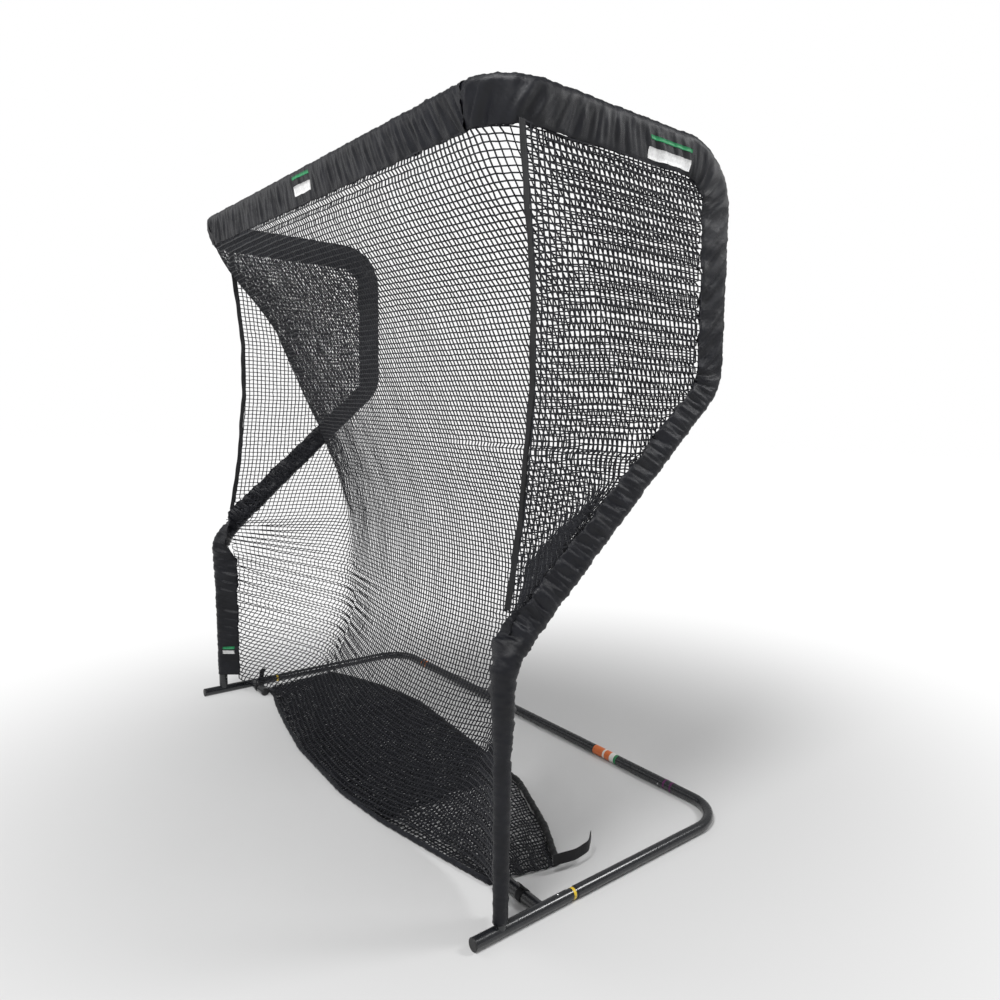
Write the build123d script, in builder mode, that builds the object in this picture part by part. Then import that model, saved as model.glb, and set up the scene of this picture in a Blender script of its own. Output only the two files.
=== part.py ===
"""Golf practice net: knock-down steel tube frame, fabric sleeves, main net, side nets and floor skirt."""

from build123d import *
from math import atan2, cos, degrees, hypot, radians, sin
import os

os.makedirs("parts", exist_ok=True)

# ---- driving dimensions, mm ----
WIDTH, DEPTH, HEIGHT = 2440, 1100, 2290
TUBE_R, WALL = 19.05, 1.5
SPIGOT_R = TUBE_R - WALL - 0.1
SPIGOT_LENGTH = 90
SHOULDER = 3
SLEEVE_CLEAR, SLEEVE_WALL = 0.6, 1.4
SLEEVE_R = TUBE_R + SLEEVE_CLEAR + SLEEVE_WALL
RING_T = 0.4

# ---- frame lines ----
SIDE_X = WIDTH / 2 - SLEEVE_R
FLOOR_Z = TUBE_R
TOP_Z = HEIGHT - SLEEVE_R
FRONT_Y, REAR_Y = -DEPTH / 2, DEPTH / 2 - TUBE_R - RING_T
UPRIGHT_Y = FRONT_Y + 91
CROSSBAR_Y = FRONT_Y + 62
BACK_Y = FRONT_Y + 917
LOW_KINK_Z, HIGH_KINK_Z = 780, 1546
KINK_R, TOP_REAR_R, TOP_FRONT_R, FLOOR_R = 140, 175, 150, 150
SLOPE_ANGLE = atan2(HIGH_KINK_Z - LOW_KINK_Z, BACK_Y - UPRIGHT_Y)
SLOPE_LENGTH = hypot(HIGH_KINK_Z - LOW_KINK_Z, BACK_Y - UPRIGHT_Y)

# ---- joints between tubes: stations along the frame lines ----
LEG_JOINT_Y = FRONT_Y + 335
LEG_JOINT_GAP = 30
REAR_JOINT_X = 920
FOOT_TOP_Z = 150
WELD_Z = 6
SLOPE_JOINT = 300
BACK_JOINT_Z = 1880
TOP_JOINT_Y = FRONT_Y + 560
CROSSBAR_JOINT_X = 760
BUTTON_SETBACK = 38

# ---- snap buttons and their springs ----
BUTTON_R, BUTTON_HOLE_CLEAR = 3.4, 0.08
BUTTON_IN, BUTTON_PROUD, BUTTON_FLANGE = 11, 3, 1.5
SPRING_T, SPRING_W = 0.8, 7

# ---- net pegs, caps and marks ----
PEG_Y, PEG_TIP_X = FRONT_Y + 235, 1020
CAP_T = 4
RING_W, RING_OPEN_Z = 9, 4
LABEL_X, LABEL_W = 570, 140

# ---- fabric: flap width from the tube's centre, thicknesses ----
FLAP_TOP, FLAP_SIDE, FLAP_BACK, FLAP_SLOPE, FLAP_FOOT = 104, 99, 89, 69, 89
FLAP_TIP_R = 3
FOOT_FLAP_TURN = 40
NET_T, WEBBING_W = 3, 18
HEM_R, EDGE_R, SKIRT_T = 11, 7, 3
FLOOR_GAP = 1
SEAM_TOP_Z = TOP_Z - FLAP_SIDE - 6


def side_point(y, z, side):
    """A point in one side frame's plane; side is -1 for left and 1 for right."""
    return Vector(side * SIDE_X, y, z)


def slope_point(along, side, lift=0.0):
    """A point on the slope, measured from the low kink's corner, lifted square to it."""
    y = UPRIGHT_Y + along * cos(SLOPE_ANGLE) - lift * sin(SLOPE_ANGLE)
    z = LOW_KINK_Z + along * sin(SLOPE_ANGLE) + lift * cos(SLOPE_ANGLE)
    return side_point(y, z, side)


SLOPE_DIR = Vector(0, cos(SLOPE_ANGLE), sin(SLOPE_ANGLE))
SLOPE_UP = Vector(0, -sin(SLOPE_ANGLE), cos(SLOPE_ANGLE))


def foot_flap_dir(side):
    """The lower upright's flap points inwards and back."""
    turn = radians(FOOT_FLAP_TURN)
    return Vector(-side * cos(turn), sin(turn), 0)


def joint_list():
    """Every snap joint: name, point at the outer tube's end, spigot direction, button direction."""
    joints = []
    for side, word in ((-1, "left"), (1, "right")):
        inward = Vector(-side, 0, 0)
        foot = side_point(UPRIGHT_Y, 2 * TUBE_R + WELD_Z, side)
        bar_end = Vector(side * CROSSBAR_JOINT_X, CROSSBAR_Y, TOP_Z)
        joints += [
            (f"{word}_leg", Vector(side * SIDE_X, LEG_JOINT_Y, FLOOR_Z), Vector(0, -1, 0), Vector(0, 0, 1)),
            (f"{word}_rear", Vector(side * REAR_JOINT_X, REAR_Y, FLOOR_Z), inward, Vector(0, -1, 0)),
            (f"{word}_foot", foot, Vector(0, 0, 1), foot_flap_dir(side)),
            (f"{word}_slope", slope_point(SLOPE_JOINT, side), SLOPE_DIR, SLOPE_UP),
            (f"{word}_back", side_point(BACK_Y, BACK_JOINT_Z, side), Vector(0, 0, 1), Vector(0, -1, 0)),
            (f"{word}_top", side_point(TOP_JOINT_Y, TOP_Z, side), Vector(0, -1, 0), Vector(0, 0, -1)),
            (f"{word}_crossbar", bar_end, inward, Vector(0, 0, -1)),
        ]
    return joints


JOINTS = {name: (point, enter, out) for name, point, enter, out in joint_list()}


def button_point(name):
    point, enter, _ = JOINTS[name]
    return point + enter * BUTTON_SETBACK


def save(part, label):
    part.label = label
    export_step(part, f"parts/{label}.step")


def ring_sketch(plane, outer, inner):
    with BuildSketch(plane) as ring:
        Circle(outer)
        Circle(inner, mode=Mode.SUBTRACT)
    return ring.sketch


def tube(label, points, bends=None, spigots=(), holes=()):
    """A tube along a path. spigots name the joints where its reduced end goes into the next tube."""
    with BuildPart() as body:
        with BuildLine() as path:
            if bends:
                FilletPolyline(*points, radius=bends)
            else:
                Line(*points)
        start = Plane(origin=path.line @ 0, z_dir=path.line % 0)
        sweep(ring_sketch(start, TUBE_R, TUBE_R - WALL), path=path.line)
        for name in spigots:
            point, enter, _ = JOINTS[name]
            gap = LEG_JOINT_GAP if name.endswith("_leg") else 0
            shoulder = Plane(origin=point - enter * (gap + SHOULDER), z_dir=enter)
            extrude(ring_sketch(shoulder, TUBE_R, SPIGOT_R - WALL), amount=SHOULDER)
            extrude(ring_sketch(shoulder, SPIGOT_R, SPIGOT_R - WALL), amount=SHOULDER + gap + SPIGOT_LENGTH)
        for name in (*spigots, *holes):
            with BuildSketch(Plane(origin=button_point(name), z_dir=JOINTS[name][2])):
                Circle(BUTTON_R + BUTTON_HOLE_CLEAR)
            extrude(amount=2 * TUBE_R, mode=Mode.SUBTRACT)
    save(body.part, label)


def before(name, gap=0.0):
    """Where the main tube that carries a joint's spigot ends, short of the outer tube."""
    point, enter, _ = JOINTS[name]
    return point - enter * (gap + SHOULDER)


# ---- frame tubes ----
for side, word in ((-1, "left"), (1, "right")):
    leg_end = Vector(side * SIDE_X, LEG_JOINT_Y, FLOOR_Z)
    leg_start = Vector(side * SIDE_X, FRONT_Y + CAP_T, FLOOR_Z)
    tube(f"{word}_front_leg", [leg_start, leg_end], holes=[f"{word}_leg"])
    tube(
        f"{word}_rear_corner",
        [
            before(f"{word}_leg", LEG_JOINT_GAP),
            Vector(side * SIDE_X, REAR_Y, FLOOR_Z),
            before(f"{word}_rear"),
        ],
        bends=FLOOR_R,
        spigots=[f"{word}_leg", f"{word}_rear"],
    )
    tube(
        f"{word}_lower_upright",
        [
            JOINTS[f"{word}_foot"][0],
            side_point(UPRIGHT_Y, LOW_KINK_Z, side),
            before(f"{word}_slope"),
        ],
        bends=KINK_R,
        spigots=[f"{word}_slope"],
        holes=[f"{word}_foot"],
    )
    tube(
        f"{word}_back_tube",
        [
            JOINTS[f"{word}_slope"][0],
            side_point(BACK_Y, HIGH_KINK_Z, side),
            before(f"{word}_back"),
        ],
        bends=KINK_R,
        spigots=[f"{word}_back"],
        holes=[f"{word}_slope"],
    )
    tube(
        f"{word}_top_rear_bend",
        [
            JOINTS[f"{word}_back"][0],
            side_point(BACK_Y, TOP_Z, side),
            before(f"{word}_top"),
        ],
        bends=TOP_REAR_R,
        spigots=[f"{word}_top"],
        holes=[f"{word}_back"],
    )
    tube(
        f"{word}_top_front_bend",
        [
            JOINTS[f"{word}_top"][0],
            side_point(CROSSBAR_Y, TOP_Z, side),
            before(f"{word}_crossbar"),
        ],
        bends=TOP_FRONT_R,
        spigots=[f"{word}_crossbar"],
        holes=[f"{word}_top"],
    )
tube("rear_bar", [JOINTS["left_rear"][0], JOINTS["right_rear"][0]], holes=["left_rear", "right_rear"])
bar_ends = [JOINTS["left_crossbar"][0], JOINTS["right_crossbar"][0]]
tube("crossbar", bar_ends, holes=["left_crossbar", "right_crossbar"])

# ---- foot spigots, net pegs and end caps ----
for side, word in ((-1, "left"), (1, "right")):
    leg_axis = Plane(origin=(side * SIDE_X, FRONT_Y, FLOOR_Z), z_dir=(0, 1, 0))
    with BuildPart() as foot:
        foot_base = Plane(origin=(side * SIDE_X, UPRIGHT_Y, FLOOR_Z), z_dir=(0, 0, 1))
        extrude(ring_sketch(foot_base, SPIGOT_R, SPIGOT_R - WALL), amount=FOOT_TOP_Z - FLOOR_Z)
        with BuildSketch(leg_axis):
            Circle(TUBE_R)
        extrude(amount=DEPTH, mode=Mode.SUBTRACT)
        with BuildSketch(Plane(origin=button_point(f"{word}_foot"), z_dir=foot_flap_dir(side))):
            Circle(BUTTON_R + BUTTON_HOLE_CLEAR)
        extrude(amount=2 * TUBE_R, mode=Mode.SUBTRACT)
    save(foot.part, f"{word}_foot_spigot")

    with BuildPart() as peg:
        peg_base = Plane(origin=(side * SIDE_X, PEG_Y, FLOOR_Z), z_dir=(-side, 0, 0))
        peg_length = SIDE_X - PEG_TIP_X - TUBE_R / 2
        extrude(ring_sketch(peg_base, TUBE_R, TUBE_R - WALL), amount=peg_length)
        with BuildSketch(leg_axis):
            Circle(TUBE_R)
        extrude(amount=DEPTH, mode=Mode.SUBTRACT)
    save(peg.part, f"{word}_net_peg")

    with BuildPart() as peg_cap:
        cap_plane = Plane(origin=(side * (PEG_TIP_X + TUBE_R / 2), PEG_Y, FLOOR_Z), z_dir=(-side, 0, 0))
        with BuildSketch(cap_plane):
            Circle(TUBE_R)
        extrude(amount=TUBE_R / 2)
        dome_edge = peg_cap.faces().sort_by(Axis.X)[-1 if side < 0 else 0].edges()
        fillet(dome_edge, TUBE_R / 2 - 0.5)
        with BuildSketch(cap_plane):
            Circle(TUBE_R - WALL)
        extrude(amount=-15)
    save(peg_cap.part, f"{word}_peg_cap")

    with BuildPart() as leg_cap:
        with BuildSketch(leg_axis):
            Circle(TUBE_R)
        extrude(amount=CAP_T)
        fillet(leg_cap.faces().sort_by(Axis.Y)[0].edges(), 1.5)
        with BuildSketch(leg_axis.offset(CAP_T)):
            Circle(TUBE_R - WALL)
        extrude(amount=15)
    save(leg_cap.part, f"{word}_leg_cap")


# ---- coloured assembly rings and the label band ----
def bands(label, stations, radius):
    """Thin rings stuck round a tube, open underneath: each station is centre, axis and width."""
    with BuildPart() as group:
        for centre, axis, width in stations:
            start = Plane(origin=centre - axis * (width / 2), z_dir=axis)
            extrude(ring_sketch(start, radius + RING_T, radius), amount=width)
        split(bisect_by=Plane.XY.offset(RING_OPEN_Z), keep=Keep.TOP)
    save(group.part, label)


def along_rear(x):
    return Vector(x, REAR_Y, FLOOR_Z)


REAR_AXIS, LEG_AXIS = Vector(1, 0, 0), Vector(0, 1, 0)
YELLOW_Y = LEG_JOINT_Y + LEG_JOINT_GAP * 0.6
RING_XS = (REAR_JOINT_X - 12, REAR_JOINT_X + 22)
yellow = [(Vector(side * SIDE_X, YELLOW_Y, FLOOR_Z), LEG_AXIS, RING_W) for side in (-1, 1)]
bands("yellow_rings", yellow, SPIGOT_R)
bands("purple_rings", [(along_rear(x), REAR_AXIS, RING_W) for x in RING_XS], TUBE_R)
bands("orange_rings", [(along_rear(-x), REAR_AXIS, RING_W) for x in RING_XS], TUBE_R)
bands("label_band", [(along_rear(LABEL_X), REAR_AXIS, LABEL_W)], TUBE_R)

# ---- snap buttons ----
for name, (point, enter, out) in JOINTS.items():
    with BuildPart() as button:
        base = Plane(origin=button_point(name) + out * BUTTON_IN, z_dir=out)
        with BuildSketch(base):
            Circle(BUTTON_R)
        extrude(amount=TUBE_R + BUTTON_PROUD - BUTTON_IN)
        head = button.faces().sort_by(Axis(base.origin, out))[-1]
        fillet(head.edges(), BUTTON_R - 0.6)
        with BuildSketch(base):
            Circle(BUTTON_R + 1)
        extrude(amount=BUTTON_FLANGE)
    save(button.part, f"{name}_button")

# ---- V springs under the buttons ----
with BuildPart() as springs:
    for name, (point, enter, out) in JOINTS.items():
        leaf = Plane(origin=button_point(name), x_dir=-enter, z_dir=(-enter).cross(out))
        with BuildSketch(leaf) as strip:
            with BuildLine():
                FilletPolyline((-8, 4.5), (34, -9), (-12, -14.4), radius=2)
            trace(line_width=SPRING_T)
        extrude(amount=SPRING_W / 2, both=True)
save(springs.part, "button_springs")


# ---- fabric sleeves ----
def teardrop(radius, tip_r, flap):
    with BuildSketch() as drop:
        Circle(radius)
        with Locations((flap - FLAP_TIP_R, 0)):
            Circle(tip_r)
        make_hull()
    return drop.sketch


def sleeve_section(origin, along, flap_dir, flap):
    """A hollow teardrop: snug round the tube, drawn out to the flap where the net is sewn on."""
    plane = Plane(origin=origin, x_dir=flap_dir, z_dir=along)
    with BuildSketch(plane) as section:
        add(teardrop(SLEEVE_R, FLAP_TIP_R, flap))
        add(teardrop(SLEEVE_R - SLEEVE_WALL, FLAP_TIP_R - SLEEVE_WALL, flap), mode=Mode.SUBTRACT)
    return section.sketch


def sleeve_run(start, end, flap_dir, flap):
    along = (end - start).normalized()
    extrude(sleeve_section(start, along, flap_dir, flap), amount=(end - start).length)


def sleeve_bend(start, along, flap_dir, flap, centre, axis, turn):
    revolve(sleeve_section(start, along, flap_dir, flap), axis=Axis(centre, axis), revolution_arc=turn)


SLOPE_TURN = 90 - degrees(SLOPE_ANGLE)
KINK_TANGENT = KINK_R * (1 - cos(radians(SLOPE_TURN))) / sin(radians(SLOPE_TURN))
DOWN, FORWARD = Vector(0, 0, -1), Vector(0, -1, 0)

with BuildPart() as top_sleeve:
    half = SIDE_X - TOP_FRONT_R
    sleeve_run(Vector(-half, CROSSBAR_Y, TOP_Z), Vector(half, CROSSBAR_Y, TOP_Z), DOWN, FLAP_TOP)
save(top_sleeve.part, "top_sleeve")

for side, word in ((-1, "left"), (1, "right")):
    foot_end = 100 if side < 0 else 2 * TUBE_R + 8
    with BuildPart() as sleeve:
        # lower upright, flap turned inwards and back
        sleeve_run(
            side_point(UPRIGHT_Y, foot_end, side),
            side_point(UPRIGHT_Y, LOW_KINK_Z - KINK_TANGENT, side),
            foot_flap_dir(side),
            FLAP_FOOT,
        )
        # low kink, flap square to the side frame's plane
        low_centre = side_point(UPRIGHT_Y + KINK_R, LOW_KINK_Z - KINK_TANGENT, side)
        low_start = side_point(UPRIGHT_Y, LOW_KINK_Z - KINK_TANGENT, side)
        sleeve_bend(
            low_start, Vector(0, 0, 1), Vector(-side, 0, 0), FLAP_SLOPE, low_centre, (-1, 0, 0), SLOPE_TURN
        )
        # slope, flap towards the middle of the side opening
        slope_end = slope_point(SLOPE_LENGTH - KINK_TANGENT, side)
        sleeve_run(slope_point(KINK_TANGENT, side), slope_end, SLOPE_UP, FLAP_SLOPE)
        # high kink
        high_centre = side_point(BACK_Y - KINK_R, HIGH_KINK_Z + KINK_TANGENT, side)
        high_start = side_point(BACK_Y, HIGH_KINK_Z + KINK_TANGENT, side)
        sleeve_bend(high_start, DOWN, FORWARD, FLAP_SLOPE, high_centre, (-1, 0, 0), SLOPE_TURN)
        # back vertical
        top_centre = side_point(BACK_Y - TOP_REAR_R, TOP_Z - TOP_REAR_R, side)
        sleeve_run(high_start, side_point(BACK_Y, TOP_Z - TOP_REAR_R, side), FORWARD, FLAP_BACK)
        # top rear corner
        top_start = side_point(BACK_Y, TOP_Z - TOP_REAR_R, side)
        sleeve_bend(top_start, Vector(0, 0, 1), FORWARD, FLAP_BACK, top_centre, (1, 0, 0), 90)
        # top side tube
        sleeve_run(
            side_point(BACK_Y - TOP_REAR_R, TOP_Z, side), side_point(CROSSBAR_Y + TOP_FRONT_R, TOP_Z, side),
            DOWN, FLAP_SIDE,
        )
        # top front corner, flap hanging down
        front_centre = Vector(side * (SIDE_X - TOP_FRONT_R), CROSSBAR_Y + TOP_FRONT_R, TOP_Z)
        front_start = side_point(CROSSBAR_Y + TOP_FRONT_R, TOP_Z, side)
        sleeve_bend(front_start, FORWARD, DOWN, FLAP_SIDE, front_centre, (0, 0, -side), 90)
    save(sleeve.part, f"{word}_side_sleeve")

# ---- side nets and their front edge webbing ----
SEAM_TOP = (CROSSBAR_Y + 74, SEAM_TOP_Z)
SEAM_MID = (FRONT_Y + 172, 1640)
SEAM_LOW = (FRONT_Y + 98, LOW_KINK_Z + 118)


def side_sheet(x, thickness, outline):
    """A flat sheet standing at x in the YZ plane; outline draws its edge in (y, z)."""
    plane = Plane(origin=(x - thickness / 2, 0, 0), x_dir=(0, 1, 0), z_dir=(1, 0, 0))
    with BuildSketch(plane) as sheet:
        with BuildLine():
            outline()
        make_face()
    extrude(sheet.sketch, amount=thickness)


def flap_line_point(along, extra=2.0):
    point = slope_point(along, 1, FLAP_SLOPE + extra)
    return (point.Y, point.Z)


BACK_FLAP_Y = BACK_Y - FLAP_BACK - 2
SIDE_FLAP_Z = TOP_Z - FLAP_SIDE - 2
SLOPE_HIT = (BACK_FLAP_Y - flap_line_point(0)[0]) / cos(SLOPE_ANGLE)


def side_net_outline():
    corner = 95
    seam = ThreePointArc(SEAM_LOW, SEAM_MID, SEAM_TOP)
    rim = FilletPolyline(
        seam @ 1,
        (SEAM_TOP[0] + 20, SIDE_FLAP_Z),
        (BACK_FLAP_Y, SIDE_FLAP_Z),
        flap_line_point(SLOPE_HIT),
        flap_line_point(110),
        radius=[5, corner, corner],
    )
    Line(rim @ 1, seam @ 0)


for side, word in ((-1, "left"), (1, "right")):
    with BuildPart() as side_net:
        side_sheet(side * SIDE_X, NET_T, side_net_outline)
    save(side_net.part, f"{word}_side_net")

    with BuildPart() as webbing:
        plane = Plane(origin=(side * SIDE_X - NET_T / 2, 0, 0), x_dir=(0, 1, 0), z_dir=(1, 0, 0))
        with BuildSketch(plane):
            with BuildLine():
                ThreePointArc(
                    (SEAM_LOW[0] - WEBBING_W / 2 - 1, SEAM_LOW[1] + 40),
                    (SEAM_MID[0] - WEBBING_W / 2 - 1, SEAM_MID[1]),
                    (SEAM_TOP[0] - WEBBING_W / 2 - 1, SEAM_TOP[1]),
                )
            trace(line_width=WEBBING_W)
        extrude(amount=NET_T)
    save(webbing.part, f"{word}_edge_webbing")

# ---- main net: centre sheet, its side returns to the frame, and the bowl above the floor ----
UPPER_X, LOWER_X = SIDE_X - 24, SIDE_X - 75
SPLIT_Z = 860
UPPER_PROFILE = [(CROSSBAR_Y + 2, TOP_Z - FLAP_TOP - 2), (-270, 1800), (-50, 1300), (48, SPLIT_Z + 2)]
LOWER_PROFILE = [(50, SPLIT_Z - 2), (30, 500), (-100, 250), (-385, 30)]


def profile_sheet(points, bends, half_width):
    """A sheet of net across the whole width, following a YZ profile."""
    plane = Plane(origin=(-half_width, 0, 0), x_dir=(0, 1, 0), z_dir=(1, 0, 0))
    with BuildSketch(plane) as sheet:
        with BuildLine():
            FilletPolyline(*points, radius=bends)
        trace(line_width=NET_T)
    extrude(sheet.sketch, amount=2 * half_width)


def behind(points, gap):
    return [(y + gap, z) for y, z in points]


def upper_return_outline():
    top, upper, middle, _ = behind(UPPER_PROFILE, 10)
    low = flap_line_point(645)
    slope_top = flap_line_point(SLOPE_HIT - 40)
    rear = [(BACK_FLAP_Y, HIGH_KINK_Z + 40), (BACK_FLAP_Y, SIDE_FLAP_Z - 95), (BACK_FLAP_Y - 95, SIDE_FLAP_Z)]
    Polyline(top, upper, middle, low, slope_top, *rear, (top[0] + 30, SIDE_FLAP_Z), close=True)


def lower_return_outline():
    start, middle, low, _ = behind(LOWER_PROFILE, -10)
    front = UPRIGHT_Y + FLAP_FOOT * sin(radians(FOOT_FLAP_TURN)) + 6
    Polyline((front, LOW_KINK_Z - 60), start, middle, low, (front, 120), close=True)


with BuildPart() as main_net:
    profile_sheet(UPPER_PROFILE, 400, UPPER_X)
    profile_sheet(LOWER_PROFILE, 150, LOWER_X)
    for side in (-1, 1):
        side_sheet(side * UPPER_X, NET_T, upper_return_outline)
        side_sheet(side * LOWER_X, NET_T, lower_return_outline)
save(main_net.part, "main_net")

# ---- what lies on the floor: rolled front edge, skirt folded back under the net, padded hem ----
EDGE_ROUTE = [
    (-1085, -283), (-990, -284), (-860, -320), (-608, -372), (-310, -423), (150, -450), (433, -433),
    (755, -384), (985, -345),
]
HEM_ROUTE = [
    (-1120, 50), (-985, 110), (-736, 180), (-445, 218), (95, 160), (524, 108), (843, -18), (1040, -125),
]


def floor_roll(label, route, radius, bend):
    """A round fabric roll lying just off the floor."""
    height = radius + FLOOR_GAP
    with BuildPart() as roll:
        with BuildLine() as path:
            FilletPolyline(*[(x, y, height) for x, y in route], radius=bend)
        with BuildSketch(Plane(origin=path.line @ 0, z_dir=path.line % 0)):
            Circle(radius)
        sweep(path=path.line)
    save(roll.part, label)


floor_roll("front_edge_roll", EDGE_ROUTE, EDGE_R, 300)
floor_roll("rear_hem", HEM_ROUTE, HEM_R, 250)

with BuildPart() as skirt:
    with BuildSketch(Plane.XY.offset(FLOOR_GAP)):
        with BuildLine():
            front = [(x, y + EDGE_R + 6) for x, y in EDGE_ROUTE]
            rear = [(x, y - HEM_R - 10) for x, y in HEM_ROUTE]
            Polyline(*front, *reversed(rear), close=True)
        make_face()
    extrude(amount=SKIRT_T)
save(skirt.part, "floor_skirt")

# ---- ties at the feet and the hook-and-loop strap at the hem's right corner ----
TIE_R, TIE_T, TIE_W = TUBE_R + 0.4, 1.6, 25
TIE_OPEN = 100


def tie_loop(label, centre, axis, flap_dir, reach):
    """A webbing loop over a peg or leg, open underneath, with a tail towards the net."""
    with BuildPart() as tie:
        plane = Plane(origin=centre - axis * (TIE_W / 2), x_dir=(0, 0, 1), z_dir=axis)
        with BuildSketch(plane):
            with BuildLine():
                half_turn = 180 - TIE_OPEN / 2
                CenterArc((0, 0), TIE_R + TIE_T / 2, -half_turn, 2 * half_turn)
            trace(line_width=TIE_T)
        extrude(amount=TIE_W)
        tail_start = centre + Vector(0, 0, TIE_R + TIE_T / 2)
        with BuildSketch(Plane(origin=tail_start, x_dir=axis, z_dir=flap_dir)):
            Rectangle(TIE_W, TIE_T)
        extrude(amount=reach)
    save(tie.part, label)


for side, word in ((-1, "left"), (1, "right")):
    peg_centre = Vector(side * (PEG_TIP_X + 90), PEG_Y, FLOOR_Z)
    tie_loop(f"{word}_peg_tie", peg_centre, Vector(1, 0, 0), Vector(0, -0.5, 0.87), 22)
leg_tie_centre = Vector(-SIDE_X, LEG_JOINT_Y - 60, FLOOR_Z)
tie_loop("left_leg_tie", leg_tie_centre, Vector(0, 1, 0), Vector(0.5, 0, 0.87), 60)

with BuildPart() as hem_strap:
    with BuildSketch(Plane.XY.offset(30)):
        with BuildLine():
            FilletPolyline((1068, -165), (1090, -90), (1085, -30), (1050, 10), radius=30)
        trace(line_width=1.8)
    extrude(amount=40)
save(hem_strap.part, "hem_strap")
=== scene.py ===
from math import cos, pi, radians, sin

import bpy
import numpy as np
from mathutils import Matrix, Vector


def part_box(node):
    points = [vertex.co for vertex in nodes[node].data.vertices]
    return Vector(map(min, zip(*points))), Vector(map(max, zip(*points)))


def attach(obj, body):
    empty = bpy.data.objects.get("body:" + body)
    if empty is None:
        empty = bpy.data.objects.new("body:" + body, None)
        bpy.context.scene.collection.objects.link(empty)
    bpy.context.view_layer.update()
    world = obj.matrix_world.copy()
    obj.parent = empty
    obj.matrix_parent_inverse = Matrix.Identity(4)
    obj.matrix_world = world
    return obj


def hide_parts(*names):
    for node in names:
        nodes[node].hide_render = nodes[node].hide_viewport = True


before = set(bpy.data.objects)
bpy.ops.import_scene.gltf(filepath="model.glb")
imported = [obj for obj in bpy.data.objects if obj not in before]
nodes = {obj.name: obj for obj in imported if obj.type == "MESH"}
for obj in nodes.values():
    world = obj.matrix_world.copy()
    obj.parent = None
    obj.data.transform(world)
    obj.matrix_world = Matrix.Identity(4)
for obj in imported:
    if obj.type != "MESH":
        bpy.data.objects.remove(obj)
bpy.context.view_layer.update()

# ---- places read from the CAD frame, metres ----
def middle(node):
    """The middle of a CAD node's box."""
    low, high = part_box(node)
    return np.array((low + high) / 2)


SIDE_X = middle("right_front_leg")[0]
BAR_Y, BAR_Z = middle("crossbar")[1:]
TUBE_R = 0.01905
UPRIGHT_Y = (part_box("right_foot_spigot")[0].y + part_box("right_foot_spigot")[1].y) / 2
BACK_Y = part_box("right_back_tube")[1].y - TUBE_R
SIDES = ((-1, "left"), (1, "right"))

# ---- frame line of one side, as in the CAD model ----
SLEEVE_R = 0.0212
LOW_KINK_Z, HIGH_KINK_Z = 0.780, 1.546
KINK_R, TOP_REAR_R, TOP_FRONT_R = 0.140, 0.175, 0.150
SLOPE = np.array([0, BACK_Y - UPRIGHT_Y, HIGH_KINK_Z - LOW_KINK_Z])
SLOPE_LENGTH = float(np.linalg.norm(SLOPE))
SLOPE = SLOPE / SLOPE_LENGTH
SLOPE_UP = np.array([0, -SLOPE[2], SLOPE[1]])
FLAP_TOP, FLAP_SIDE, FLAP_BACK, FLAP_SLOPE, FLAP_FOOT = 0.104, 0.099, 0.089, 0.069, 0.089
FOOT_FLAP_TURN = radians(40)
BAR_HALF = SIDE_X - TOP_FRONT_R - 0.001

NET_CELL = 0.019
CORD_HALF = 0.00175
KNOT_JITTER = 0.0007

rng = np.random.default_rng(11)


# ---------------------------------------------------------------- mesh helpers
def new_object(name, verts, faces, smooth=True):
    """A mesh object from an array of points and an array of quads (or a list of faces)."""
    mesh = bpy.data.meshes.new(name)
    verts = np.asarray(verts, np.float32).reshape(-1, 3)
    if isinstance(faces, np.ndarray):
        size = faces.shape[1]
        mesh.vertices.add(len(verts))
        mesh.vertices.foreach_set("co", verts.ravel())
        mesh.loops.add(faces.size)
        mesh.loops.foreach_set("vertex_index", faces.astype(np.int32).ravel())
        mesh.polygons.add(len(faces))
        mesh.polygons.foreach_set("loop_start", np.arange(0, faces.size, size, dtype=np.int32))
        mesh.update(calc_edges=True)
    else:
        mesh.from_pydata(verts.tolist(), [], faces)
    mesh.validate()
    mesh.polygons.foreach_set("use_smooth", np.full(len(mesh.polygons), smooth))
    piece = bpy.data.objects.new(name, mesh)
    bpy.context.scene.collection.objects.link(piece)
    return piece


def unit(v):
    return v / (np.linalg.norm(v, axis=-1, keepdims=True) + 1e-12)


def ripple(s, a, waves, seed):
    """Smooth random wrinkles from a few plane waves over two coordinates, from -1 to 1."""
    draw = np.random.default_rng(seed)
    total = 0
    for ks, ka in waves:
        ks, ka = ks * draw.uniform(0.8, 1.25), ka * draw.uniform(0.8, 1.25)
        total = total + np.sin(ks * s + ka * a + draw.uniform(0, 2 * pi))
    return total / len(waves)


def folds(s, a, waves, seed):
    """Sharp-valleyed gathers, from -1 to 1."""
    draw = np.random.default_rng(seed)
    total = 0
    for ks, ka in waves:
        ks, ka = ks * draw.uniform(0.85, 1.2), ka * draw.uniform(0.8, 1.25)
        total = total + 1 - 2 * np.abs(np.sin(ks * s / 2 + ka * a / 2 + draw.uniform(0, pi)))
    return total / len(waves)


def distances(path):
    """Distance along a path at each of its points."""
    return np.concatenate([[0], np.cumsum(np.linalg.norm(np.diff(path, axis=0), axis=1))])


def points_at(path, lengths, at):
    """Points at the given distances along a path."""
    return np.stack([np.interp(at, lengths, path[:, k]) for k in range(path.shape[1])], -1)


def resample(path, step):
    """The same path with evenly spaced points about one step apart."""
    lengths = distances(path)
    at = np.linspace(0, lengths[-1], max(2, int(round(lengths[-1] / step)) + 1))
    return points_at(path, lengths, at), at


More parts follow.
